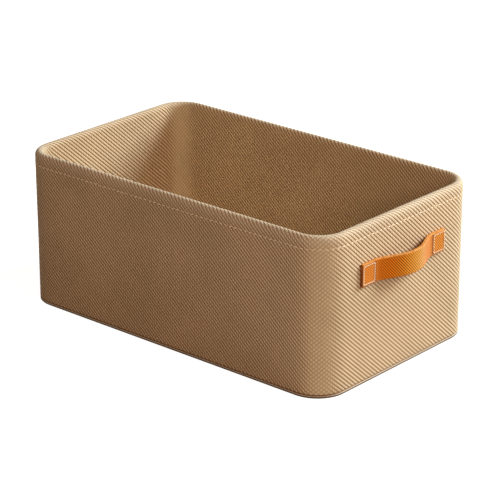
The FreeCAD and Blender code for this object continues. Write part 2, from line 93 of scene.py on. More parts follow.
# %% Outline function
def outline(distance, inset=0.0):
    """Point (x, y) and outward direction at a distance along the outline moved in by inset.
    Distance starts at the middle of the right side and runs anticlockwise.
    The direction turns by distance / radius inside each corner; the point is the corner's
    centre, carried along the straight sides, plus the radius times the direction."""
    a, b, r = HALF_LENGTH - inset, HALF_WIDTH - inset, CORNER_RADIUS - inset
    runs = [(b - r, (0, 1)), (2 * (a - r), (-1, 0)), (2 * (b - r), (0, -1)), (2 * (a - r), (1, 0)),
            (b - r, (0, 1))]
    s = np.mod(distance, outline_length(inset))
    centre = np.zeros(s.shape + (2,)) + (a - r, 0)
    angle = np.zeros(s.shape)
    start = 0.0
    for length, heading in runs:
        centre += np.clip(s - start, 0, length)[..., None] * heading
        start += length
        angle += np.clip((s - start) / r, 0, math.pi / 2)
        start += r * math.pi / 2
    out = np.stack([np.cos(angle), np.sin(angle)], axis=-1)
    return centre + r * out, out


def outline_length(inset=0.0):
    """Four straight sides and one full circle."""
    straight = 4 * (HALF_LENGTH - CORNER_RADIUS) + 4 * (HALF_WIDTH - CORNER_RADIUS)
    return straight + 2 * math.pi * (CORNER_RADIUS - inset)


def places_round(count, inset=0.0):
    """The starts of equal steps along the outline."""
    return np.arange(count) * outline_length(inset) / count


def on_wall(distance, inset, height, reference=0.0):
    """Points in space: on the outline of a reference inset, moved on to the wanted inset."""
    point, out = outline(distance, reference)
    flat = point - np.asarray(inset)[..., None] * out + reference * out
    return np.concatenate([flat, np.broadcast_to(height, distance.shape)[..., None]], axis=-1)


print("outline", round(outline_length() / MM, 1), "mm")

# %% [markdown]
# ## From grids of points to meshes
#
# Every new surface below is a closed band: rows one way, columns round the other. One helper
# turns its points into a mesh with four-sided faces and a texture map of two numbers. The map
# is kept per face corner, so it can run on past the place where the band meets itself.


# %% Mesh helpers
def into_scene(name, data):
    """A new object for a mesh, a camera or a lamp."""
    thing = bpy.data.objects.new(name, data)
    bpy.context.scene.collection.objects.link(thing)
    return thing


def face_corners(grid, turn=0):
    """A grid's numbers at the four corners of each face. The last column is followed by the
    first, where the numbers go on by turn."""
    grid = np.concatenate([grid, grid[:, :1] + turn], axis=1)
    corners = [grid[:-1, :-1], grid[:-1, 1:], grid[1:, 1:], grid[1:, :-1]]
    return np.stack(corners, axis=-1)


def grid_faces(rows, columns):
    """Point numbers of each face."""
    return face_corners(np.arange(rows * columns).reshape(rows, columns)).reshape(-1, 4)


def mesh_from(name, points, faces, corner_map=None):
    """A smooth object from points, four-sided faces and, where given, their map."""
    mesh = bpy.data.meshes.new(name)
    mesh.vertices.add(len(points))
    mesh.vertices.foreach_set("co", np.ascontiguousarray(points, dtype=np.float32).ravel())
    mesh.loops.add(faces.size)
    mesh.loops.foreach_set("vertex_index", faces.ravel().astype(np.int32))
    mesh.polygons.add(len(faces))
    mesh.polygons.foreach_set("loop_start", np.arange(0, faces.size, 4, dtype=np.int32))
    if corner_map is not None:
        layer = mesh.uv_layers.new(name="weave")
        layer.uv.foreach_set("vector", corner_map.astype(np.float32).ravel())
    mesh.update(calc_edges=True)
    mesh.validate()
    mesh.shade_smooth()
    return into_scene(name, mesh)


def grid_piece(name, points, u, v, u_turn=0.0):
    """A mesh from an array of points with shape (rows, columns, 3) and their map."""
    corner_map = np.stack([face_corners(u, u_turn), face_corners(v)], axis=-1).reshape(-1, 2)
    piece = mesh_from(name, points.reshape(-1, 3), grid_faces(*points.shape[:2]), corner_map)
    print(name, len(piece.data.polygons), "faces")
    return piece


def mark_points(piece, name, share):
    """Stores one number per point, for the finish to read."""
    values = piece.data.attributes.new(name, "FLOAT", "POINT")
    values.data.foreach_set("value", share.astype(np.float32).ravel())


def close_ends(piece, sharp_degrees=35):
    """Merges points that fall together, fills the open ends and keeps hard edges hard."""
    mesh = piece.data
    shell = bmesh.new()
    shell.from_mesh(mesh)
    bmesh.ops.remove_doubles(shell, verts=shell.verts, dist=1e-6)
    bmesh.ops.holes_fill(shell, edges=[edge for edge in shell.edges if edge.is_boundary])
    bmesh.ops.recalc_face_normals(shell, faces=shell.faces)
    shell.to_mesh(mesh)
    shell.free()
    mesh.shade_smooth()
    mesh.set_sharp_from_angle(angle=math.radians(sharp_degrees))
    return piece


# %% [markdown]
# ## The ribbed cloth
#
# The cloth's ribs run down to the right, about 42 degrees from level, and carry on over the
# rim. A plain upright grid would need tiny squares to draw slanted ribs, so this grid is
# slanted too: every column follows one line of a rib, and eight columns make one rib. Then
# the relief is the same all along a column, and the rows can be far apart.

# %% Weave sizes
RIB_COUNT = 246
COLUMNS_PER_RIB = 8
RIB_PITCH = outline_length() / RIB_COUNT
RIB_RISE = 4.83 * MM
RIB_DEPTH = 0.55 * MM
CORNER_SPREAD = 16 * MM
CORNER_FLATNESS, RIM_FLATNESS = 0.85, 0.5
SOFT_DEPTH = 0.16 * MM
RIM_FADE = 6 * MM
STITCH_PITCH = 6.8 * MM
STITCH_COUNT = round(outline_length() / STITCH_PITCH)
print(RIB_COUNT, "ribs of", round(RIB_PITCH / MM, 2), "mm,", STITCH_COUNT, "rim stitches")


def rib_height(phase):
    """Height from 0 in the groove to 1 on the rib: the square root of |cos(pi * phase)|."""
    return np.sqrt(np.abs(np.cos(math.pi * phase)))


def corner_share(distance):
    """1 in the middle of a corner, falling off as exp(-(step / 16 mm)^2) to both sides. The
    outline is the same in all four quarters, so it is folded to the distance from the middle
    of a short side. Cloth pulled round a corner spreads, so its ribs lie flatter there."""
    quarter = outline_length() / 4
    middle = HALF_WIDTH - CORNER_RADIUS + CORNER_RADIUS * math.pi / 4
    from_side = np.abs(np.mod(distance + quarter, 2 * quarter) - quarter)
    return np.exp(-((from_side - middle) / CORNER_SPREAD) ** 2)


def softness(distance, height):
    """The slow unevenness of a padded wall: the sum of sin(5 t), 0.7 sin(9 t) and 0.5 sin(16 t)
    with shifted phases, where t runs once round. It fades at the base and at the rim."""
    turn = 2 * math.pi * distance / outline_length()
    lift = np.clip(height / HEIGHT, 0, 1)
    waves = np.sin(5 * turn + 0.7) + 0.7 * np.sin(9 * turn + 2.1 + 3 * lift)
    waves = waves + 0.5 * np.sin(16 * turn + 4 * lift)
    return SOFT_DEPTH * waves * np.sin(math.pi * lift) ** 0.7


def wall_section(path):
    """The cloth's way through the wall's section, by its length from the hem: up the outside,
    half round the rim, down the inside. Gives inset, height and the surface direction
    (outward, upward), which turns by path / radius on the rim."""
    straight = RIM_AXIS - HEM_LEVEL
    angle = np.clip((path - straight) / RIM_RADIUS, 0, math.pi)
    down = np.clip(path - straight - math.pi * RIM_RADIUS, 0, None)
    inset = RIM_RADIUS * (1 - np.cos(angle))
    height = HEM_LEVEL + np.clip(path, 0, straight) + RIM_RADIUS * np.sin(angle) - down
    return inset, height, np.cos(angle), np.sin(angle)


def cloth_band(name, rows, extra_depth):
    """A band of ribbed cloth, with rows at the given lengths through the wall's section. Along
    a column the rib phase is fixed, so the distance falls by pitch / rise for every unit of
    length. The relief is the rib depth times 1 - rib height, less where the cloth is
    stretched: round a corner and over the rim. A second mark tells the finish where to paint
    a pale sheen: the top and the outer half of the rim, fading out over 6 mm of wall below."""
    phase, path = np.meshgrid(np.arange(RIB_COUNT * COLUMNS_PER_RIB) / COLUMNS_PER_RIB, rows)
    distance = (phase - path / RIB_RISE) * RIB_PITCH
    inset, height, outward, upward = wall_section(path)
    corner = corner_share(distance)
    flatter = (1 - CORNER_FLATNESS * corner) * (1 - RIM_FLATNESS * upward)
    depth = RIB_DEPTH * flatter * (1 - rib_height(phase)) + extra_depth(distance, path)
    depth = depth - softness(distance, height) * np.abs(outward)
    points = on_wall(distance, inset, height)
    points[..., :2] -= (depth * outward)[..., None] * outline(distance)[1]
    points[..., 2] -= depth * upward
    band = grid_piece(name, points, phase, path / RIB_RISE, RIB_COUNT)
    # Painted sheen: this mark makes the finish paint the rim's cloth paler.
    below_rim = 0.55 * np.clip(1 + (height - RIM_AXIS) / RIM_FADE, 0, 1) * (outward > 0)
    rim = np.clip(np.maximum(below_rim, upward * (1 + 0.6 * outward)), 0, 1)
    mark_points(band, "corner_share", corner)
    mark_points(band, "rim_sheen_share", rim)
    return band


# %% [markdown]
# ## Outer cover
#
# The cover is one band of cloth. It starts under the wall as a hem, climbs the outside, rolls
# over the rim and ends inside at the stitching. The thread pulls it in, so a shallow trough
# follows the row of stitches, deepest at the needle holes. Rows sit close together only in
# that trough and over the round rim.

# %% Outer cover
STITCH_PATH = STITCH_LEVEL - HEM_LEVEL
RIM_START = RIM_AXIS - HEM_LEVEL
RIM_END = RIM_START + math.pi * RIM_RADIUS
INNER_STITCH_PATH = RIM_END + RIM_AXIS - STITCH_LEVEL
TROUGH_DEPTH, TROUGH_REACH = 0.42 * MM, 1.5 * MM
HEM_ROUND = 2 * MM


def stitch_trough(distance, path):
    """A trough exp(-(step / 1.5 mm)^2) across, with its needle holes once per stitch."""
    across = np.exp(-((path - STITCH_PATH) / TROUGH_REACH) ** 2)
    holes = 0.75 - 0.25 * np.cos(2 * math.pi * STITCH_COUNT * distance / outline_length())
    return TROUGH_DEPTH * across * holes


def hem_turn(path):
    """Rounds the bottom edge inwards: the depth grows to 1 mm over the last 2 mm."""
    return HEM_ROUND / 2 * np.clip(1 - path / HEM_ROUND, 0, 1) ** 2


cover_rows = np.concatenate([
    np.array([0, 0.6, 1.3, 2.2]) * MM,
    np.linspace(8 * MM, STITCH_PATH - 5 * MM, 24),
    STITCH_PATH + np.array([-3, -1.7, -0.8, 0, 0.8, 1.7, 3, 5.5]) * MM,
    np.linspace(RIM_START, RIM_END, 12),
    np.linspace(RIM_END + 3 * MM, INNER_STITCH_PATH, 3),
])
cover = cloth_band(
    "outer_cover_cloth", cover_rows,
    lambda distance, path: stitch_trough(distance, path) + hem_turn(path))
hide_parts("outer_cover")
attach(cover, "basket")

# %% [markdown]
# ## Inner lining
#
# The lining is sewn to the cover at the inside of the same seam and drops to the base. Its
# ribs meet the cover's ribs, as they do in the photograph, where no step shows inside.

# %% Inner lining
lining_rows = np.linspace(INNER_STITCH_PATH, INNER_STITCH_PATH + STITCH_LEVEL - BASE_TOP, 28)
lining = cloth_band("inner_lining_cloth", lining_rows, lambda distance, path: 0)
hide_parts("inner_lining")
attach(lining, "basket")

# %% [markdown]
# ## Stitches
#
# A stitch is a short round stretch of thread that dips into the cloth at both ends. One small
# template, six points round and seven along, is laid out for all stitches at once: every
# template point is moved to its stitch's place on the outline, so stitches in the corners
# bend with the wall. A little seeded chance tilts each one, as on sewn cloth.


# %% Thread template
def thread_template(length, radius):
    """Points of one stitch as along, out and across. Its thickness is the radius times
    (1 - (2 * along / length)^2)^0.35, and its middle stands higher than its ends."""
    along = np.sin(np.linspace(-math.pi / 2, math.pi / 2, 7))[:, None] * length / 2
    shape = np.clip(1 - (2 * along / length) ** 2, 0, 1)
    thick = radius * shape ** 0.35
    turn = np.arange(6) * math.pi / 3
    lift = radius * 0.9 * (shape ** 0.5 - 0.35)
    return along + 0 * turn, lift + thick * np.cos(turn), thick * np.sin(turn)


def many_stitches(name, points):
    """One piece from an array of stitches with shape (count, rows, columns, 3)."""
    count, rows, columns = points.shape[:3]
    starts = np.arange(count)[:, None, None] * rows * columns
    faces = (grid_faces(rows, columns) + starts).reshape(-1, 4)
    print(name, count, "stitches")
    return close_ends(mesh_from(name, points.reshape(-1, 3), faces), sharp_degrees=80)


# %% Rim stitching
THREAD_DEPTH = 0.36 * MM
SHORT_SIDE_DEPTH = 0.34 * MM


def rim_row():
    """Stitches round the rim, each with its own small tilt and shift. The thread is drawn
    tighter on the short sides, so it lies deeper in the cloth there."""
    along, out, across = thread_template(length=4.7 * MM, radius=0.62 * MM)
    chance = np.random.default_rng(7)
    place = (np.arange(STITCH_COUNT)[:, None, None] + 0.5) * outline_length() / STITCH_COUNT
    tilt = chance.normal(loc=0.02, scale=0.03, size=place.shape)
    shift = chance.normal(loc=0, scale=0.10 * MM, size=place.shape)
    facing = outline(place)[1][..., 0]
    depth = THREAD_DEPTH + SHORT_SIDE_DEPTH * facing ** 2
    return on_wall(place + along, depth - out, STITCH_LEVEL + across + shift + tilt * along)


rim_stitches = many_stitches("rim_stitches", rim_row())
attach(rim_stitches, "basket")

# %% [markdown]
# ## Seam of the cover
#
# The cover is one band of cloth, so its two ends meet somewhere. Makers put that seam in the
# middle of the back. Its line is drawn by the cloth's finish; here it gets a row of stitches
# on each side.

# %% Seam stitching
SEAM_DISTANCE = HALF_WIDTH - CORNER_RADIUS + CORNER_RADIUS * math.pi / 2 + HALF_LENGTH - CORNER_RADIUS
SEAM_STEP = 2.4 * MM
SEAM_PITCH = 4.4 * MM


def seam_row(step):
    """Upright stitches 4.4 mm apart, at a given step sideways from the seam."""
    along, out, across = thread_template(length=3.1 * MM, radius=0.42 * MM)
    heights = np.arange(HEM_LEVEL + 5 * MM, STITCH_LEVEL - 3 * MM, SEAM_PITCH)[:, None, None]
    return on_wall(SEAM_DISTANCE + step + across + 0 * heights, THREAD_DEPTH - out, heights + along)


seam_stitches = many_stitches("seam_stitches", np.concatenate([seam_row(-SEAM_STEP), seam_row(SEAM_STEP)]))
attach(seam_stitches, "basket")

# %% [markdown]
# ## Base: welt, underside and lining
#
# A thin welt, a cord wrapped in a strip of plain cloth, closes the bottom edge. It is a tube
# along the outline. Its cloth is cut on the slant, which shows as fine slanting threads and
# tiny puckers.

# %% Base welt
piping_low, piping_high = corners_of("base_piping")
WELT_RADIUS = (piping_high[2] - piping_low[2]) / 2
WELT_SIDES, WELT_COLUMNS = 14, 1400
PUCKER_DEPTH, PUCKER_PITCH = 0.05 * MM, 2.9 * MM
WELT_THREAD = 2 * MM


def make_welt():
    """A closed tube round the outline: centre one radius in and up, with 0.05 mm puckers."""
    around = np.arange(WELT_SIDES) * 2 * math.pi / WELT_SIDES
    around, distance = np.meshgrid(around, places_round(WELT_COLUMNS), indexing="ij")
    pucker = PUCKER_DEPTH * np.sin(2 * math.pi * distance / PUCKER_PITCH + around)
    radius = WELT_RADIUS - PUCKER_DEPTH + pucker
    height = WELT_RADIUS + radius * np.sin(around)
    points = on_wall(distance, WELT_RADIUS - radius * np.cos(around), np.maximum(height, 0))
    closed = np.concatenate([points, points[:1]])[::-1]
    u = np.concatenate([distance, distance[:1]]) / WELT_THREAD
    v = np.arange(WELT_SIDES, -1, -1)[:, None] / WELT_SIDES + 0 * u
    return close_ends(grid_piece("base_welt", closed, u, v, outline_length() / WELT_THREAD))


welt = make_welt()
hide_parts("base_piping")
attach(welt, "basket")


# %% Flat sheets
SHEET_RINGS, EDGE_RINGS, SHEET_COLUMNS = 22, 7, 260


def flat_sheet(name, inset, top, bottom, edge, wave=0.0):
    """A cloth-covered plate with the outline of the basket: rings shrink from the rounded
    edge to the middle, above and below, and close at one point on each face. The edge turns
    as edge (1 - cos), half thickness sin. Long waves of the given height, sin(31 x) sin(43 y)
    with shifted phases, lie over the upper face."""
    distance = places_round(SHEET_COLUMNS, inset)
    rim, out = outline(distance, inset)
    middle, half = (top + bottom) / 2, (top - bottom) / 2
    shares = (np.linspace(0, 1, SHEET_RINGS) ** 0.7)[:-1]
    turn = np.pad(np.linspace(math.pi / 2, -math.pi / 2, EDGE_RINGS), len(shares), mode="edge")[:, None]
    scale = np.concatenate([shares, np.ones(EDGE_RINGS), shares[::-1]])[:, None]
    flat = (rim - edge * (1 - np.cos(turn))[..., None] * out) * scale[..., None]
    lift = half * np.sin(turn)
    ripple = np.sin(flat[..., 0] * 31 + 1) * np.sin(flat[..., 1] * 43 + 2) * (1 - scale ** 6)
    height = middle + lift + wave * ripple * (lift > 0)
    points = np.concatenate([flat, height[..., None]], axis=-1)[::-1]
    u, v = points[..., 0] / MM, points[..., 1] / MM
    return close_ends(grid_piece(name, points, u, v), sharp_degrees=60)


base_low, base_high = corners_of("base_cloth")
underside = flat_sheet("base_underside", HALF_LENGTH - base_high[0], base_high[2], base_low[2],
                       edge=0.5 * MM)
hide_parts("base_cloth")
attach(underside, "basket")
base_lining_low, base_lining_high = corners_of("base_lining")
base_inside = flat_sheet("base_lining_cloth", WALL, base_lining_high[2], base_lining_low[2],
                         edge=0.4 * MM)
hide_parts("base_lining")
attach(base_inside, "basket")

# %% [markdown]
# ## Loose base insert
#
# The insert is a stiff board in a cloth sleeve. It has soft rounded edges and lies slightly
# uneven, and a folded ribbon at one end lifts it out.

# %% Insert and pull tab
insert_high = corners_of("insert_top_cover")[1]
insert_bottom = corners_of("insert_bottom_cloth")[0][2]
INSERT_INSET = HALF_LENGTH - insert_high[0]
insert = flat_sheet("insert_sleeve", INSERT_INSET, insert_high[2], insert_bottom,
                    edge=1.6 * MM, wave=0.15 * MM)
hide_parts("insert_top_cover", "insert_bottom_cloth")
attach(insert, "base_insert")

tab_low, tab_high = corners_of("insert_pull_tab")
TAB_THICKNESS = 1.6 * MM
TAB_BEND = 3.8 * MM


def make_pull_tab():
    """A ribbon that lies flat, turns up by a quarter circle and stands. The angle along its
    middle line goes from 0 to 90 degrees over the bend, and the place is the running sum. Its
    section is a flat rounded box: powers 0.25 and 0.6 of the cosine and the sine."""
    foot, _, leaf = tab_high - tab_low - TAB_BEND - TAB_THICKNESS / 2
    length = np.linspace(0, foot + TAB_BEND * math.pi / 2 + leaf, 160)
    angle = np.clip((length - foot) / TAB_BEND, 0, math.pi / 2)
    step = np.gradient(length)
    x = tab_low[0] + np.cumsum(np.cos(angle) * step) - np.cos(angle[0]) * step[0]
    z = tab_low[2] + TAB_THICKNESS / 2 + np.cumsum(np.sin(angle) * step) - np.sin(angle[0]) * step[0]
    turn = np.arange(40) * 2 * math.pi / 40
    side = np.sign(np.cos(turn)) * np.abs(np.cos(turn)) ** 0.25 * tab_high[1]
    thick = np.sign(np.sin(turn)) * np.abs(np.sin(turn)) ** 0.6 * TAB_THICKNESS / 2
    x, z, angle = x[:, None], z[:, None], angle[:, None]
    side = side + 0 * angle
    points = np.stack([x - thick * np.sin(angle), side, z + thick * np.cos(angle)], axis=-1)
    return close_ends(grid_piece("insert_ribbon_tab", points, length[:, None] / MM + 0 * side, side / MM))


pull_tab = make_pull_tab()
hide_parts("insert_pull_tab")
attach(pull_tab, "base_insert")

# %% [markdown]
# The sleeve is sewn shut by a row of stitches 7 mm inside its edge, and the foot of the ribbon
# is sewn down by two short rows. Both use the same thread template as the rim.

# %% Insert stitching
SLEEVE_THREAD = thread_template(length=4.2 * MM, radius=0.5 * MM)
SLEEVE_THREAD_DEPTH = 0.15 * MM
SLEEVE_MARGIN, SLEEVE_PITCH = 7 * MM, 6 * MM


def sleeve_row():
    """Stitches 6 mm apart along the insert's outline, moved in by 7 mm."""
    along, out, across = SLEEVE_THREAD
    inset = INSERT_INSET + SLEEVE_MARGIN
    count = round(outline_length(inset) / SLEEVE_PITCH)
    place = (np.arange(count)[:, None, None] + 0.5) * outline_length(inset) / count
    height = insert_high[2] - SLEEVE_THREAD_DEPTH + out
    return on_wall(place + along, inset + across, height, reference=inset)


def ribbon_rows():
    """Two rows of three stitches across the ribbon's foot, 3 mm and 9 mm from its end."""
    along, out, across = SLEEVE_THREAD
    row, place = np.meshgrid([3 * MM, 9 * MM], np.array([-1, 0, 1]) * 5.2 * MM)
    row, place = row.reshape(-1, 1, 1), place.reshape(-1, 1, 1)
    height = tab_low[2] + TAB_THICKNESS - SLEEVE_THREAD_DEPTH + out + 0 * place
    return np.stack([tab_low[0] + row + across, place + along, height], axis=-1)


insert_stitches = many_stitches("insert_stitches", np.concatenate([sleeve_row(), ribbon_rows()]))
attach(insert_stitches, "base_insert")

# %% [markdown]
# ## Leather handles
#
# Each handle is a strap of two glued leather layers. Its ends are sewn flat on the wall and
# its middle bows out far enough for four fingers. The middle line is a chain of arcs: a wide
# crest, a straight flank, and a tighter bend the other way beside each sewn end. The strap's
# section is then carried along that line. Each handle is made as two halves, one on each
# side of its middle. The left handle is the right one turned half round, and its pieces keep
# the right one's names.

# %% Strap sizes
# A zoomed crop shows the strap reaching 2 mm lower than its solid, with the same upper edge.
STRAP_DROP = 2.0 * MM
strap_low, (_, STRAP_HALF, STRAP_TOP) = corners_of("right_handle_face_ends")
STRAP_BOTTOM = strap_low[2] - STRAP_DROP
STRAP_WIDTH = STRAP_TOP - STRAP_BOTTOM
STRAP_LEVEL = (STRAP_TOP + STRAP_BOTTOM) / 2
STRAP_THICKNESS = 3.6 * MM
STRAP_ROWS = 150
STRAP_FOOT = 49 * MM
STRAP_RISE = 15 * MM
CREST_RADIUS = 50.4 * MM
FOOT_RADIUS = 23.6 * MM
FACE_ROUND, BACK_ROUND, END_ROUND = 0.9 * MM, 0.5 * MM, 0.8 * MM
LAYER_GROOVE_DEPTH, LAYER_GROOVE_REACH = 0.22 * MM, 0.25 * MM
SEWN_GROOVE_DEPTH, SEWN_GROOVE_REACH = 0.38 * MM, 0.75 * MM
BOX_INSET = 2.6 * MM
BOX_CENTRE = (STRAP_FOOT + STRAP_HALF) / 2 + 0.2 * MM
BOX_HALF_ALONG = (STRAP_HALF - STRAP_FOOT) / 2 - BOX_INSET + 0.8 * MM
BOX_HALF_ACROSS = STRAP_WIDTH / 2 - BOX_INSET
BOX_PITCH = 3.0 * MM
BOX_THREAD_DEPTH = 0.10 * MM
print("strap", round(STRAP_WIDTH / MM, 1), "wide,", round(2 * STRAP_HALF / MM), "mm long")


def strap_line():
    """The wall side of half a strap, from its crest to its sewn end: (length, out, along,
    angle). The angle rises over the crest, holds on the flank and falls to 0 at the foot."""
    reach = CREST_RADIUS + FOOT_RADIUS
    flank = math.sqrt(STRAP_FOOT ** 2 + STRAP_RISE ** 2 - 2 * reach * STRAP_RISE)
    slope = math.atan2(STRAP_FOOT, reach - STRAP_RISE) - math.atan2(flank, reach)
    stops = np.cumsum([0, CREST_RADIUS * slope, flank, FOOT_RADIUS * slope, STRAP_HALF - STRAP_FOOT])
    length = np.linspace(0, stops[-1], STRAP_ROWS)
    angle = np.interp(length, stops, [0, slope, slope, 0, 0])
    middle = (angle[1:] + angle[:-1]) / 2
    along = np.concatenate([[0], np.cumsum(np.cos(middle) * length[1])])
    out = STRAP_RISE - np.concatenate([[0], np.cumsum(np.sin(middle) * length[1])])
    return length, out, along, angle


def rounding(from_edge, radius):
    """How far a quarter circle draws a surface in, at each distance from its edge."""
    share = np.clip(1 - from_edge / radius, 0, 1)
    return radius * (1 - np.sqrt(1 - share ** 2))


def strap_section():
    """The strap's outline as (across, thickness, edge mark), anticlockwise from the lower
    edge of its face. Its edges are rounded, with a fine groove between the two layers. The
    mark is a half on the upper edge, which the finish paints paler as lit from above, and 1 on
    the lower edge, which it paints dark as shade."""
    level = np.linspace(1, 0, 15) * STRAP_THICKNESS
    pull = rounding(STRAP_THICKNESS - level, FACE_ROUND) + rounding(level, BACK_ROUND)
    pull += LAYER_GROOVE_DEPTH * np.exp(-((level - STRAP_THICKNESS / 2) / LAYER_GROOVE_REACH) ** 2)
    edge = STRAP_WIDTH / 2 - pull
    face = np.linspace(-edge[0], edge[0], 44)[1:-1]
    back = np.linspace(edge[-1], -edge[-1], 12)[1:-1]
    across = np.concatenate([face, edge, back, -edge[::-1]])
    thick = np.concatenate([0 * face + level[0], level, 0 * back, level[::-1]])
    mark = np.concatenate([0 * face, 0 * level + 0.5, 0 * back, 0 * level + 1])
    return across, thick, mark


CREASE = strap_line()[0][np.argmax(strap_line()[2] > STRAP_FOOT)]
print("the strap meets the wall", round(CREASE / MM, 1), "mm from its middle")


# %% Strap halves
HALF_NAMES = {1: "back", -1: "front"}


def beside_wall(side, half, along, out, across):
    """Points by their place on a handle. side is +1 at the right wall and -1 at the left. half
    is +1 for the half on the right as seen from outside, which is the right handle's back."""
    axes = side * (HALF_LENGTH + out), side * half * along, STRAP_LEVEL + across
    return np.stack(np.broadcast_arrays(*axes), axis=-1)


def make_strap_half(hand, side, half):
    """The section carried along the line: out + high cos(angle), along + high sin(angle). The
    end is rounded, and the thread presses a groove exp(-(distance / 0.75 mm)^2) into the face."""
    length, out, along, angle = (values[:, None] for values in strap_line())
    across, thick, mark = strap_section()
    shrink = rounding(length[-1] - length, END_ROUND)
    wide = across * (1 - 2 * shrink / STRAP_WIDTH)
    flat = 1 - 1.2 * shrink / STRAP_THICKNESS
    high = STRAP_THICKNESS / 2 + (thick - STRAP_THICKNESS / 2) * flat
    from_box = np.maximum(np.abs(along - BOX_CENTRE) - BOX_HALF_ALONG, np.abs(wide) - BOX_HALF_ACROSS)
    on_face = thick > STRAP_THICKNESS - 0.001 * MM
    high = high - SEWN_GROOVE_DEPTH * np.exp(-(from_box / SEWN_GROOVE_REACH) ** 2) * on_face
    points = beside_wall(side, half, along + high * np.sin(angle), out + high * np.cos(angle), wide)
    u = (length * half + 0 * wide) / MM
    piece = grid_piece(f"{hand}_strap_{HALF_NAMES[half]}", points, u, wide / MM)
    mark_points(piece, "edge_share", np.maximum(mark, shrink > 0))
    return close_ends(piece, sharp_degrees=50)


def tab_stitches(hand, side, half):
    """A closed box of stitches: places run round a rectangle, each with its direction."""
    corners = np.array([(-1, -1), (1, -1), (1, 1), (-1, 1)]) * (BOX_HALF_ALONG, BOX_HALF_ACROSS)
    ahead, out, beside = thread_template(length=2.4 * MM, radius=0.66 * MM)
    chance = np.random.default_rng(20 + side + 2 * half)
    rows = []
    for start, finish in zip(corners, np.roll(corners, -1, axis=0)):
        run = np.linalg.norm(finish - start)
        count = round(run / BOX_PITCH)
        heading = (finish - start) / run
        normal = np.array([-heading[1], heading[0]])
        middle = start + (np.arange(count)[:, None] + 0.5) / count * (finish - start)
        tilt = chance.normal(loc=0, scale=0.04, size=count)[:, None, None]
        flat = middle[:, None, None] + ahead[..., None] * heading
        flat = flat + (beside + tilt * ahead)[..., None] * normal
        above = STRAP_THICKNESS - BOX_THREAD_DEPTH + out
        rows.append(beside_wall(side, half, BOX_CENTRE + flat[..., 0], above, flat[..., 1]))
    return many_stitches(f"{hand}_{HALF_NAMES[half]}_tab_stitches", np.concatenate(rows))


straps, strap_sewing = [], []
for hand, side in (("right", 1), ("left", -1)):
    nodes = [f"{hand}_handle_{layer}_{part}" for layer in ("face", "lining") for part in ("ends", "loop")]
    for half in (1, -1):
        strap = make_strap_half(hand, side, half)
        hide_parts(*nodes)
        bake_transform(strap)
        straps.append(strap)
        sewing = tab_stitches(hand, side, half)
        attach(sewing, "basket")
        strap_sewing.append(sewing)

# %% [markdown]
# ## Finishes
#
# The same effects come back in several finishes: slanted ribs, fine fibres, leather grain.
# Each is a node group with named inputs, built once. A small helper wires nodes by name, so
# that a material reads as a list of steps.


# %% Node helpers
class Wires:
    """Adds nodes to one tree. What is given to an input may be a number, a colour or vector
    of three numbers, or another node's output."""

    def __init__(self, tree):
        self.tree = tree

    def feed(self, node, inputs):
        """Sets or links inputs, each known by its number or by its name with _ for a space."""
        for key, given in inputs.items():
            socket = node.inputs[key if isinstance(key, int) else key.replace("_", " ")]
            if isinstance(given, bpy.types.NodeSocket):
                self.tree.links.new(given, socket)
            else:
                socket.default_value = (*given, 1) if socket.type == "RGBA" else given
        return node

    def node(self, kind, settings=None, **inputs):
        """A new node with its own settings and its inputs."""
        node = self.tree.nodes.new("ShaderNode" + kind)
        for name, setting in (settings or {}).items():
            setattr(node, name, setting)
        return self.feed(node, inputs)

    def math(self, operation, *given):
        node = self.node("Math", {"operation": operation})
        return self.feed(node, dict(enumerate(given))).outputs[0]

    plus = partialmethod(math, "ADD")
    minus = partialmethod(math, "SUBTRACT")
    times = partialmethod(math, "MULTIPLY")
    larger = partialmethod(math, "MAXIMUM")
    size_of = partialmethod(math, "ABSOLUTE")

    def mixed(self, first, share, second, other_share):
        """first * share + second * other_share."""
        return self.plus(self.times(first, share), self.times(second, other_share))

    def wave(self, turns):
        """|cos(pi * turns)|: 1 at every whole number, 0 half way between."""
        return self.size_of(self.math("COSINE", self.times(turns, math.pi)))

    def between(self, given, low, high, out_low=0.0, out_high=1.0):
        """A smooth step from out_low, where given is low, to out_high, where it is high."""
        node = self.node("MapRange", {"interpolation_type": "SMOOTHSTEP"})
        return self.feed(node, dict(enumerate((given, low, high, out_low, out_high)))).outputs[0]

    def blend(self, share, first, second, kind="MIX"):
        """A colour: first where share is 0, second where it is 1."""
        node = self.node("Mix", {"data_type": "RGBA", "blend_type": kind})
        return self.feed(node, {0: share, 6: first, 7: second}).outputs[2]

    def ramp(self, given, low, high, first, second):
        """A colour: first where given is low, second where it is high."""
        return self.blend(self.between(given, low, high), first, second)

    def noise(self, place, scale, detail=3.0, roughness=0.6):
        node = self.node("TexNoise", Vector=place, Scale=scale, Detail=detail, Roughness=roughness)
        return node.outputs["Fac"]

    def from_cell_walls(self, place, scale):
        node = self.node("TexVoronoi", {"feature": "DISTANCE_TO_EDGE"}, Vector=place, Scale=scale)
        return node.outputs["Distance"]

    def axes(self, vector):
        """The vector's three numbers."""
        return self.node("SeparateXYZ", Vector=vector).outputs

    def object_place(self):
        return self.node("TexCoord").outputs["Object"]

    def weave_map(self):
        return self.node("UVMap", {"uv_map": "weave"}).outputs[0]

    def mark(self, name):
        """A number stored per point."""
        return self.node("Attribute", {"attribute_name": name}).outputs["Fac"]

    def group(self, tree, **inputs):
        return self.node("Group", {"node_tree": tree}, **inputs).outputs

    def surface(self, colour, height, strength, depth, roughness, **more):
        """Feeds the material's shader. strength and depth are the bump's, roughness is given as
        for between, and more are the shader's other inputs."""
        shader = next(node for node in self.tree.nodes if node.type == "BSDF_PRINCIPLED")
        bump = self.node("Bump", Strength=strength, Distance=depth, Height=height).outputs[0]
        self.feed(shader, {"Base Color": colour, "Normal": bump,
                           "Roughness": self.between(*roughness), **more})


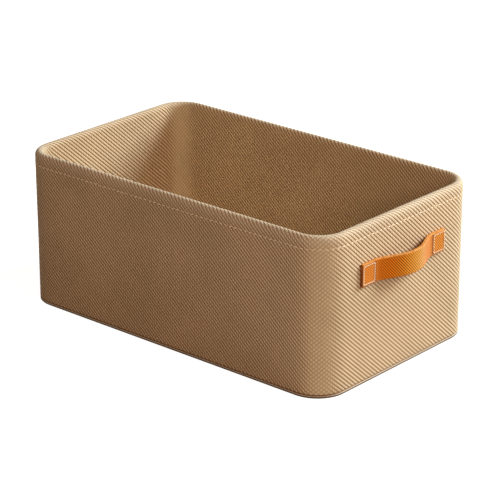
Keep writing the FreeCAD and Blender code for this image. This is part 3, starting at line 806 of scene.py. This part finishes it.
def start_group(name, vector, **numbers):
    """A new node group with one vector input and its number inputs, with their usual values."""
    tree = bpy.data.node_groups.new(name, "ShaderNodeTree")
    tree.interface.new_socket(vector, in_out="INPUT", socket_type="NodeSocketVector")
    for number, usual in numbers.items():
        label = number.replace("_", " ")
        socket = tree.interface.new_socket(label, in_out="INPUT", socket_type="NodeSocketFloat")
        socket.default_value = usual
    return Wires(tree), tree.nodes.new("NodeGroupInput").outputs


def end_group(wires, **results):
    """Gives the group one number output per result."""
    for name in results:
        label = name.replace("_", " ")
        wires.tree.interface.new_socket(label, in_out="OUTPUT", socket_type="NodeSocketFloat")
    wires.feed(wires.tree.nodes.new("NodeGroupOutput"), results)
    return wires.tree


def new_material(name):
    """A new material and the wires for its nodes."""
    material = bpy.data.materials.new(name)
    material.use_nodes = True
    return material, Wires(material.node_tree)


def tinted(colour, *shares):
    """A colour with each of its three numbers multiplied by its own share."""
    return tuple(part * share for part, share in zip(colour, shares))


# %% [markdown]
# ### Rib effect
#
# The cloth's map holds the rib's phase in its first number and the length along the cloth,
# in rib rises, in its second. The groove mask follows the same cosine as the mesh. Upright
# notches, two to a rib, part each rib into beads: they follow the phase less the length.
# The notches' darker colour is painted shade.
# Grooves on the other slant follow the phase less twice the length. They hardly show on the
# flat walls, and show as much as the ribs where the cloth spreads round a corner; they too
# darken the colour as painted shade. A dark line of painted shadow marks the hem, where the
# cloth is turned under beside the welt.

# %% Rib group
def build_rib_group():
    """The masks Groove, Notch and Seam, a mask for the painted shadow line along the hem, the relief's
    Height and each rib's own tone.
    """
    wires, given = start_group("slanted_ribs", "Map", Corner=0.0)
    phase, path, _ = wires.axes(given["Map"])
    corner = given["Corner"]
    rib = wires.math("SQRT", wires.wave(phase))
    upright = wires.wave(wires.times(wires.minus(phase, path), 2.0))
    mirrored = wires.wave(wires.minus(phase, wires.times(path, 2.0)))
    groove = wires.times(wires.between(rib, 0.35, 0.95, 1.0, 0.0),
                         wires.between(corner, 0.0, 1.0, 1.0, 0.2))
    crossing = wires.times(wires.between(mirrored, 0.0, 0.8, 1.0, 0.0),
                           wires.between(corner, 0.0, 1.0, 0.05, 0.75))
    upright_notch = wires.times(wires.between(upright, 0.0, 0.9, 0.7, 0.0),
                                wires.between(corner, 0.0, 1.0, 1.0, 0.4))
    notch = wires.larger(crossing, upright_notch)
    rib_number = wires.math("FLOOR", wires.plus(phase, 0.5))
    tone = wires.node("TexWhiteNoise", {"noise_dimensions": "1D"}, W=rib_number).outputs[0]
    around = wires.math("FLOORED_MODULO", wires.minus(phase, path), RIB_COUNT)
    from_seam = wires.size_of(wires.minus(around, SEAM_DISTANCE / RIB_PITCH))
    below_stitches = wires.math("LESS_THAN", path, (STITCH_PATH - 2 * MM) / RIB_RISE)
    seam = wires.times(wires.between(from_seam, 0.04, 0.16, 1.0, 0.0), below_stitches)
    # Painted shadow: a dark line along the hem, beside the welt.
    hem = wires.between(path, 1.3 * MM / RIB_RISE, 2.2 * MM / RIB_RISE, 1.0, 0.0)
    return end_group(wires, Groove=groove, Height=wires.minus(rib, wires.times(notch, 0.5)),
                     Notch=notch, Rib_tone=tone, Seam=seam, Hem=hem)


# %% Fibre group
def build_fibre_group():
    """Loose fibres and slow colour changes, in Object coordinates."""
    wires, given = start_group("cloth_fibres", "Place", Fine_scale=900.0, Slow_scale=14.0)
    fine = wires.noise(given["Place"], given["Fine scale"], detail=4.0, roughness=0.7)
    slow = wires.noise(given["Place"], given["Slow scale"], detail=2.0)
    return end_group(wires, Fibres=fine, Slow=slow)


# %% Grain group
def build_grain_group():
    """Leather grain: small cells with wrinkles, and a slow change of tone."""
    wires, given = start_group("leather_grain", "Place", Cell_scale=1400.0)
    cells = wires.between(wires.from_cell_walls(given["Place"], given["Cell scale"]), 0.0, 0.25)
    wrinkles = wires.noise(given["Place"], 300.0, detail=5.0)
    slow = wires.noise(given["Place"], 35.0, detail=2.0)
    return end_group(wires, Cells=cells, Wrinkles=wrinkles, Slow=slow)


RIBS = build_rib_group()
FIBRES = build_fibre_group()
GRAIN = build_grain_group()
print("node groups:", [tree.name for tree in (RIBS, FIBRES, GRAIN)])

# %% Ribbed cloth
RIB_COLOUR = (0.88, 0.715, 0.475)
RIM_SHEEN_COLOUR = (0.97, 0.905, 0.71)
GROOVE_AND_SHADOW_COLOUR = (0.19, 0.095, 0.035)
CORNER_PAINTED_SHADE = (0.92, 0.955, 0.965)


def ribbed_cloth(name, seam):
    """Pale ribs with brown grooves; each rib a little different, with beads and fibres. The
    notches between the beads are darkened as painted shade. Over the rim the cloth is painted
    paler, with lighter grooves, as a painted sheen, and in the corners painted shade makes it a
    little darker and cooler. A dark painted shadow runs along the hem. seam is 1 where the
    band's closing seam shows, else 0."""
    material, wires = new_material(name)
    corner, rim_sheen = wires.mark("corner_share"), wires.mark("rim_sheen_share")
    ribs = wires.group(RIBS, Map=wires.weave_map(), Corner=corner)
    fibres = wires.group(FIBRES, Place=wires.object_place())
    tone = wires.mixed(ribs["Rib tone"], 0.12, fibres["Fibres"], 0.35)
    pale = wires.blend(tone, RIB_COLOUR, tinted(RIB_COLOUR, 0.72, 0.68, 0.6))
    # Painted sheen: over the rim the cloth is paler and its grooves less dark.
    pale = wires.blend(wires.times(rim_sheen, 0.6), pale, RIM_SHEEN_COLOUR)
    # Painted shade: the notches between the beads are darkened in colour.
    notch_shaded = wires.blend(ribs["Notch"], pale, tinted(RIB_COLOUR, 0.5, 0.42, 0.34))
    deep = wires.times(ribs["Groove"], wires.between(rim_sheen, 0.0, 1.0, 1.0, 0.72))
    colour = wires.blend(deep, notch_shaded, GROOVE_AND_SHADOW_COLOUR)
    slow = wires.between(fibres["Slow"], 0.3, 0.7, 0.94, 1.04)
    grey = wires.node("CombineColor", Red=slow, Green=slow, Blue=slow).outputs[0]
    colour = wires.blend(1.0, colour, grey, kind="MULTIPLY")
    # Painted shade: the corners are made a little darker and cooler.
    colour = wires.blend(corner, colour, CORNER_PAINTED_SHADE, kind="MULTIPLY")
    colour = wires.blend(wires.times(ribs["Seam"], seam), colour, GROOVE_AND_SHADOW_COLOUR)
    # Painted shadow: a dark line along the hem.
    colour = wires.blend(wires.times(ribs["Hem"], 0.95), colour, GROOVE_AND_SHADOW_COLOUR)
    height = wires.mixed(ribs["Height"], 0.5, fibres["Fibres"], 0.4)
    height = wires.minus(height, wires.times(ribs["Seam"], 2.0 * seam))
    wires.surface(colour, height, strength=0.55, depth=0.35 * MM,
                  roughness=(fibres["Fibres"], 0.2, 0.8, 0.8, 0.95),
                  Sheen_Weight=0.2, Sheen_Roughness=0.4, Specular_IOR_Level=0.2)
    return material


# %% Plain cloth, thread and ribbon
def plain_weave(name, light, dark, threads_per_mm, sheen=0.2):
    """A plain weave: two sets of threads, each a sine along one number of the map."""
    material, wires = new_material(name)
    u, v, _ = wires.axes(wires.weave_map())
    warp, weft = (wires.math("SINE", wires.times(place, math.pi * threads_per_mm)) for place in (u, v))
    fibres = wires.group(FIBRES, Place=wires.object_place())["Fibres"]
    height = wires.mixed(wires.times(warp, weft), 0.5, fibres, 0.8)
    colour = wires.ramp(height, -0.2, 0.9, dark, light)
    wires.surface(colour, height, strength=0.5, depth=0.2 * MM, Sheen_Weight=sheen,
                  roughness=(fibres, 0.2, 0.8, 0.82, 0.96))
    return material


def welt_with_painted_shade():
    """The welt: pale above, and dark brown below as painted shade towards the floor. The map's
    second number runs once round the tube, and the brown part is where its sine is low."""
    material, wires = new_material("welt_cloth")
    u, v, _ = wires.axes(wires.weave_map())
    level = wires.math("SINE", wires.times(v, 2 * math.pi))
    twist = wires.wave(wires.plus(u, wires.times(v, 3.0)))
    fibres = wires.group(FIBRES, Place=wires.object_place())["Fibres"]
    height = wires.mixed(twist, 0.6, fibres, 0.6)
    shade = wires.between(height, 0.1, 1.0)
    upper = wires.blend(shade, (0.52, 0.40, 0.25), (0.80, 0.68, 0.49))
    # Painted shade: the lower half of the tube, towards the floor, is dark brown.
    lower = wires.blend(shade, (0.03, 0.018, 0.010), (0.09, 0.055, 0.03))
    colour = wires.ramp(level, 0.35, 0.7, lower, upper)
    wires.surface(colour, height, strength=0.5, depth=0.2 * MM,
                  roughness=(fibres, 0.2, 0.8, 0.8, 0.95))
    return material


def spun_thread(name, light, dark):
    """Sewing thread: fine fibres in Object coordinates, soft sheen."""
    material, wires = new_material(name)
    fibres = wires.group(FIBRES, Place=wires.object_place(), Fine_scale=1800.0)["Fibres"]
    colour = wires.ramp(fibres, 0.3, 0.7, dark, light)
    wires.surface(colour, fibres, strength=0.4, depth=0.1 * MM, Sheen_Weight=0.3,
                  roughness=(fibres, 0.3, 0.7, 0.5, 0.7))
    return material


# %% Leather
LINE_PITCH_ALONG, LINE_PITCH_ACROSS = 2.9, 3.3
TAN_TONES = (0.86, 0.28, 0.016), (0.95, 0.32, 0.022)
BOWED_PAINTED_SHADE = (0.89, 0.235, 0.003)
PAINTED_HIGHLIGHT_TAN = (0.87, 0.43, 0.04)
GRAIN_COLOUR = (0.50, 0.11, 0.004)
LINE_AND_SHADE_COLOUR = (0.20, 0.032, 0.001)
UPPER_EDGE_PAINTED_LIGHT_TONES = (0.55, 0.20, 0.03), (0.78, 0.36, 0.10)
DARK_ENDS_AND_PAINTED_SHADE_TONES = (0.22, 0.06, 0.012), (0.36, 0.11, 0.02)


def strap_leather():
    """Tan leather pressed with fine slanting lines, 2.9 mm apart along the strap. The bowed
    part is painted with shade as a deeper tan than the sewn tabs, with a dark painted shadow
    at the bend between them, and turns yellower towards the half named back as a painted
    highlight. The edge mark is 0 on the faces, a half on the upper edge, painted paler as lit
    from above, and 1 on the lower edge, painted dark as shade, and on the dark ends. The map
    counts millimetres from the strap's middle."""
    material, wires = new_material("strap_leather")
    grain = wires.group(GRAIN, Place=wires.object_place())
    u, v, _ = wires.axes(wires.weave_map())
    crease_place = CREASE / MM
    slant = wires.plus(wires.math("DIVIDE", u, LINE_PITCH_ALONG), wires.math("DIVIDE", v, LINE_PITCH_ACROSS))
    line = wires.between(wires.wave(slant), 0.15, 1.0, 1.0, 0.0)
    from_middle = wires.size_of(u)
    bowed = wires.between(from_middle, crease_place - 6, crease_place, 1.0, 0.0)
    from_crease = wires.size_of(wires.minus(from_middle, crease_place))
    before_crease = wires.math("LESS_THAN", from_middle, crease_place)
    # Painted shade: the face darkens towards the bend where the strap meets the wall, and a dark band lies
    # at the bend itself.
    fold_shade = wires.between(from_middle, crease_place - 12, crease_place - 2, 0.0, 0.24)
    crease_shade = wires.larger(wires.between(from_crease, 0.2, 3.0, 0.8, 0.0), wires.times(before_crease, fold_shade))
    # Painted highlight: the face turns yellower towards the half named back.
    painted_highlight = wires.times(wires.between(u, -36.0, 6.0), wires.between(u, 10.0, 30.0, 1.0, 0.3))
    face = wires.ramp(grain["Slow"], 0.3, 0.7, *TAN_TONES)
    # Painted shade: the bowed part is a deeper tan than the sewn tabs.
    face = wires.blend(wires.times(bowed, 0.8), face, BOWED_PAINTED_SHADE)
    face = wires.blend(painted_highlight, face, PAINTED_HIGHLIGHT_TAN)
    face = wires.blend(wires.times(wires.minus(1.0, grain["Cells"]), 0.25), face, GRAIN_COLOUR)
    # The pressed lines are the leather's own; the dark band at the bend is painted shade.
    face = wires.blend(wires.larger(line, crease_shade), face, LINE_AND_SHADE_COLOUR)
    edge, worn = wires.mark("edge_share"), wires.between(grain["Wrinkles"], 0.3, 0.7)
    # The upper edge is painted paler as lit from above, and the lower edge dark as painted shade.
    colour = wires.ramp(edge, 0.1, 0.45, face, wires.blend(worn, *UPPER_EDGE_PAINTED_LIGHT_TONES))
    colour = wires.ramp(edge, 0.55, 0.95, colour, wires.blend(worn, *DARK_ENDS_AND_PAINTED_SHADE_TONES))
    height = wires.minus(wires.mixed(grain["Cells"], 0.35, grain["Wrinkles"], 0.5), line)
    wires.surface(colour, height, strength=0.35, depth=0.2 * MM,
                  roughness=(grain["Wrinkles"], 0.3, 0.7, 0.32, 0.46),
                  Specular_IOR_Level=0.2, Specular_Tint=(1.0, 0.84, 0.20))
    return material


# %% [markdown]
# ### Parts that the cloth covers
#
# Foam, boards, tape and wire are hidden in use. They show when the model is taken apart, so
# each gets its own finish: open pores in foam, fine flutes in the plastic wall board,
# pressed fibres in grey board and drawn lines along the wire.


# %% Foam
def foam(name, light, dark):
    """Open pores: the distance to the nearest wall between cells, with a slow yellowing."""
    material, wires = new_material(name)
    place = wires.object_place()
    pores = wires.between(wires.from_cell_walls(place, 900.0), 0.0, 0.3)
    slow = wires.between(wires.noise(place, 12.0), 0.35, 0.65)
    body = wires.blend(slow, light, tinted(light, 0.97, 0.93, 0.8))
    wires.surface(wires.blend(pores, body, dark), pores, strength=0.6, depth=0.3 * MM,
                  roughness=(pores, 0.0, 1.0, 0.85, 0.98))
    return material


# %% Boards and tape
def fluted_board(name, light, dark, flutes_per_metre, roughness):
    """Upright flutes, a wave along x + y and so along every wall, under fine scratches."""
    material, wires = new_material(name)
    place = wires.object_place()
    x, y, _ = wires.axes(place)
    flutes = wires.wave(wires.times(wires.plus(x, y), flutes_per_metre))
    scratches = wires.noise(place, 700.0, detail=5.0)
    height = wires.mixed(flutes, 0.6, scratches, 0.4)
    colour = wires.ramp(height, 0.2, 0.9, dark, light)
    wires.surface(colour, height, strength=0.4, depth=0.15 * MM,
                  roughness=(scratches, 0.3, 0.7, roughness, roughness + 0.15))
    return material


def pressed_fibres(name, light, dark, scale):
    """Pale flecks of pressed fibre over a mottled ground."""
    material, wires = new_material(name)
    fibres = wires.group(FIBRES, Place=wires.object_place(), Fine_scale=scale)
    flecks = wires.between(fibres["Fibres"], 0.42, 0.6)
    ground = wires.ramp(fibres["Slow"], 0.3, 0.7, dark, light)
    colour = wires.blend(wires.times(flecks, 0.4), ground, tinted(light, 1, 1, 0.9))
    wires.surface(colour, fibres["Fibres"], strength=0.4, depth=0.1 * MM,
                  roughness=(flecks, 0.0, 1.0, 0.8, 0.92))
    return material


# %% Metal
def drawn_metal(name, light, dark, roughness):
    """Fine lines from drawing: noise of (0.06 x, 0.06 y, z), so drawn out along the hoop."""
    material, wires = new_material(name)
    stretch = wires.node("Mapping", {"vector_type": "POINT"}, Vector=wires.object_place(),
                         Scale=(0.06, 0.06, 1.0))
    lines = wires.noise(stretch.outputs[0], 2600.0, detail=4.0)
    colour = wires.ramp(lines, 0.3, 0.7, dark, light)
    wires.surface(colour, lines, strength=0.25, depth=0.05 * MM, Metallic=1.0,
                  roughness=(lines, 0.3, 0.7, roughness, roughness + 0.15))
    return material


# %% Give every part its finish
def dress(material, *pieces):
    """Gives pieces one material. A piece is an object, or the name of a part in the frame."""
    for piece in pieces:
        if isinstance(piece, str):
            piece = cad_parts[piece]
        piece.data.materials.clear()
        piece.data.materials.append(material)


dress(ribbed_cloth("cover_cloth", seam=1.0), cover)
dress(ribbed_cloth("lining_cloth", seam=0.0), lining)
dress(welt_with_painted_shade(), welt)
dress(plain_weave("base_cloth", (0.62, 0.52, 0.38), (0.42, 0.33, 0.22), 1.2), underside, base_inside)
dress(plain_weave("insert_cloth", (0.74, 0.62, 0.44), (0.52, 0.40, 0.25), 1.2), insert)
dress(plain_weave("ribbon", (0.70, 0.52, 0.30), (0.45, 0.30, 0.15), 1.6, sheen=0.4), pull_tab)
dress(spun_thread("rim_thread", (0.98, 0.87, 0.68), (0.94, 0.77, 0.54)),
      rim_stitches, seam_stitches, insert_stitches)
dress(spun_thread("handle_thread", (1.0, 0.91, 0.66), (0.98, 0.79, 0.49)), *strap_sewing)
dress(strap_leather(), *straps)

dress(foam("padding_foam", (0.86, 0.84, 0.78), (0.55, 0.52, 0.45)),
      "outer_padding", "inner_padding", "rim_padding", "base_padding")
dress(fluted_board("wall_board_plastic", (0.80, 0.80, 0.78), (0.66, 0.66, 0.63), 400.0, 0.4),
      "right_wall_board", "left_wall_board")
dress(fluted_board("joint_tape_film", (0.72, 0.60, 0.40), (0.60, 0.48, 0.30), 1500.0, 0.25),
      "front_joint_tape", "back_joint_tape")
dress(pressed_fibres("grey_board", (0.50, 0.46, 0.40), (0.36, 0.33, 0.28), 700.0), "insert_board")
dress(pressed_fibres("reinforcing_patch", (0.34, 0.22, 0.13), (0.22, 0.13, 0.07), 1100.0),
      "right_handle_patch", "left_handle_patch")
dress(drawn_metal("hoop_wire", (0.62, 0.62, 0.61), (0.42, 0.42, 0.43), 0.3), "rim_wire")
dress(drawn_metal("crimped_sleeve", (0.78, 0.78, 0.79), (0.60, 0.60, 0.62), 0.25), "rim_wire_sleeve")
dress(spun_thread("piping_cord_yarn", (0.88, 0.85, 0.76), (0.68, 0.63, 0.52)), "base_piping_cord")

print(len(bpy.data.materials), "materials")

# %% [markdown]
# ## Camera, floor and light
#
# The camera stands where the photograph was taken, worked out from the rim and base edges.
# The key light stands behind on the right, so the short side and the inside of the far end
# are bright and the long side is in shade. A small warm lamp on the right lets the near
# corner fade slowly from one to the other, as in the photograph.

# %% Camera
AZIMUTH, ELEVATION = math.radians(41.06), math.radians(21.51)
CAMERA_DISTANCE = 2479.5 * MM
LENS_PIXELS, FRAME_PIXELS, SENSOR = 2217, 500, 36.0
SIDE_STEP, UP_STEP = 5.2 * MM, -12.4 * MM
FARTHEST_SEEN = 30


def make_camera():
    """Stands back from the middle of the basket, moved a little to the right and down. The
    steps are taken along the camera's own axes, which point right, up and back."""
    data = bpy.data.cameras.new("camera")
    data.sensor_width = SENSOR
    data.lens = LENS_PIXELS / FRAME_PIXELS * SENSOR
    data.clip_end = FARTHEST_SEEN
    camera = into_scene("camera", data)
    turn = Euler((math.pi / 2 - ELEVATION, 0, AZIMUTH))
    steps = turn.to_matrix() @ Vector((SIDE_STEP, UP_STEP, CAMERA_DISTANCE))
    camera.location = Vector((0, 0, HEIGHT / 2)) + steps
    camera.rotation_euler = turn
    bpy.context.scene.camera = camera


make_camera()

# %% Floor and world
FLOOR_REACH = 6.0
FLOOR_GAP = 0.2 * MM
WHITE = (1, 1, 1)


def emptied(owner):
    """Wires for a material or a world whose usual nodes are taken out."""
    owner.use_nodes = True
    owner.node_tree.nodes.clear()
    return Wires(owner.node_tree)


def seen_by_camera(wires):
    """1 for rays from the camera, also by way of a mirror or glass, and 0 for stray light."""
    paths = wires.node("LightPath").outputs
    return wires.larger(paths["Is Camera Ray"],
                        wires.larger(paths["Is Glossy Ray"], paths["Is Transmission Ray"]))


def make_floor():
    """Paper with a glow that only the camera sees: 0.94 near the basket, where the lamps light
    the paper as well, and 1 far away, so that all of it is as white as the world."""
    corners = np.array([(-1, -1, 0), (1, -1, 0), (1, 1, 0), (-1, 1, 0)]) * FLOOR_REACH
    floor = mesh_from("floor", corners, np.array([[0, 1, 2, 3]]))
    floor.location.z = -FLOOR_GAP
    material = bpy.data.materials.new("floor_paper")
    wires = emptied(material)
    away = wires.node("VectorMath", {"operation": "LENGTH"}, Vector=wires.object_place())
    strength = wires.times(seen_by_camera(wires), wires.between(away.outputs["Value"], 0.45, 1.2, 0.94, 1.0))
    paper = wires.node("BsdfDiffuse", Color=(0.55, 0.51, 0.47)).outputs[0]
    glow = wires.node("Emission", Color=WHITE, Strength=strength).outputs[0]
    both = wires.feed(wires.node("AddShader"), {0: paper, 1: glow})
    wires.node("OutputMaterial", Surface=both.outputs[0])
    floor.data.materials.append(material)


def make_world():
    """White to the camera, and a weak warm fill to everything else."""
    world = bpy.data.worlds.new("studio")
    bpy.context.scene.world = world
    wires = emptied(world)
    fill = wires.node("Background", Color=(1.0, 0.64, 0.44), Strength=0.21).outputs[0]
    white = wires.node("Background", Color=WHITE, Strength=1.0).outputs[0]
    mix = wires.feed(wires.node("MixShader"), {0: seen_by_camera(wires), 1: fill, 2: white})
    wires.node("OutputWorld", Surface=mix.outputs[0])


make_floor()
make_world()

# %% Lamps
LAMP_AIM = np.array([0, 0, 0.09])


def add_lamp(name, place, size, watts, colour):
    """A square lamp that faces the middle of the basket."""
    data = bpy.data.lights.new(name, "AREA")
    data.size = size
    data.energy = watts
    data.color = colour
    lamp = into_scene(name, data)
    lamp.location = place
    aim = LAMP_AIM - place
    heading = math.atan2(aim[0], -aim[1]) + math.pi
    lamp.rotation_euler = (math.acos(-aim[2] / np.linalg.norm(aim)), 0, heading)


add_lamp("key", (1.65, 2.64, 1.8), size=1.6, watts=165, colour=(0.91, 0.985, 1.0))
add_lamp("side_fill", (2.12, -0.99, 1.35), size=0.9, watts=19, colour=(1.0, 0.70, 0.56))
bpy.context.scene.view_settings.view_transform = "Standard"
